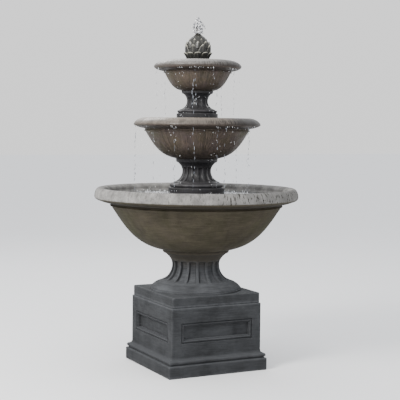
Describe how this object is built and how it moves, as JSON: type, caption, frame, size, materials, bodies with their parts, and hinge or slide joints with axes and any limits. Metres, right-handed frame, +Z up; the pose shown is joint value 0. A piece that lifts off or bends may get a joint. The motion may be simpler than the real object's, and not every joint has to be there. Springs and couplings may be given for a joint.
{
  "type": "tiered water fountain",
  "caption": "Tiered cast-stone garden fountain with a panelled base, fluted pedestals, overflowing round bowls, a finial nozzle and a submersible pump.",
  "frame": {"origin": "middle of the underside of the square base, on the ground", "axes": "+Z up along the axis of the bowls; -Y is the outward normal of the front panelled face; +Y is the back, where the cord notch is"},
  "size_m": [1.1458, 1.146, 1.898],
  "materials": {
    "base_stone": "charcoal cast stone, weathered",
    "main_bowl_stone": "brown-grey cast stone with a pale weathered rim",
    "pedestal_stone": "wet dark cast stone",
    "bowl_stone": "wet brown-grey cast stone with pale rims",
    "finial_stone": "wet cast stone",
    "nozzle_brass": "tarnished",
    "copper": "dull copper",
    "vinyl": "flexible vinyl",
    "stopper_rubber": "moulded rubber",
    "pump_rubber": "moulded rubber",
    "steel": "stainless",
    "pump_plastic": "moulded, satin",
    "dial_plastic": "moulded",
    "shaft_ceramic": "ground",
    "foam": "open-cell foam"
  },
  "bodies": {
    "fountain": {"square_base": "base_stone", "lower_pedestal": "base_stone", "main_bowl": "main_bowl_stone", "drain_stopper": "stopper_rubber", "pump_riser": "main_bowl_stone", "riser_hose": "vinyl", "hose_clamp": "steel", "hose_barb": "nozzle_brass", "pump_motor": "pump_plastic", "cover_seal": "pump_rubber", "volute_screws": "steel", "volute_cover": "pump_plastic", "impeller_shaft": "shaft_ceramic", "shaft_bushes": "pump_rubber", "pump_feet": "pump_rubber", "cord_gland": "pump_rubber"},
    "impeller": {"impeller": "dial_plastic"},
    "intake": {"intake_cover": "pump_plastic", "foam_filter": "foam"},
    "dial": {"flow_dial": "dial_plastic"},
    "middle_pedestal": {"middle_pedestal": "pedestal_stone"},
    "middle_bowl": {"middle_bowl": "bowl_stone", "middle_stopper": "stopper_rubber"},
    "upper_pedestal": {"upper_pedestal": "pedestal_stone"},
    "top_bowl": {"top_bowl": "bowl_stone", "top_stopper": "stopper_rubber"},
    "finial": {"finial": "finial_stone", "copper_pipe": "copper", "nozzle": "nozzle_brass"}
  },
  "joints": [
    {"name": "impeller_spin", "type": "hinge", "parent": "fountain", "child": "impeller", "pos_m": [0, 0, 0.744], "axis": [1, 0, 0], "continuous": true},
    {"name": "intake_pull", "type": "slide", "parent": "fountain", "child": "intake", "axis": [1, 0, 0], "range_m": [0, 0.03]},
    {"name": "dial_turn", "type": "hinge", "parent": "intake", "child": "dial", "pos_m": [0.045, 0, 0.744], "axis": [1, 0, 0], "range_deg": [0, 90]},
    {"name": "middle_pedestal_lift", "type": "slide", "parent": "fountain", "child": "middle_pedestal", "axis": [0, 0, 1], "range_m": [0, 0.12]},
    {"name": "middle_bowl_lift", "type": "slide", "parent": "middle_pedestal", "child": "middle_bowl", "axis": [0, 0, 1], "range_m": [0, 0.12]},
    {"name": "upper_pedestal_lift", "type": "slide", "parent": "middle_bowl", "child": "upper_pedestal", "axis": [0, 0, 1], "range_m": [0, 0.12]},
    {"name": "top_bowl_lift", "type": "slide", "parent": "upper_pedestal", "child": "top_bowl", "axis": [0, 0, 1], "range_m": [0, 0.12]},
    {"name": "finial_lift", "type": "slide", "parent": "top_bowl", "child": "finial", "axis": [0, 0, 1], "range_m": [0, 0.12]}
  ]
}
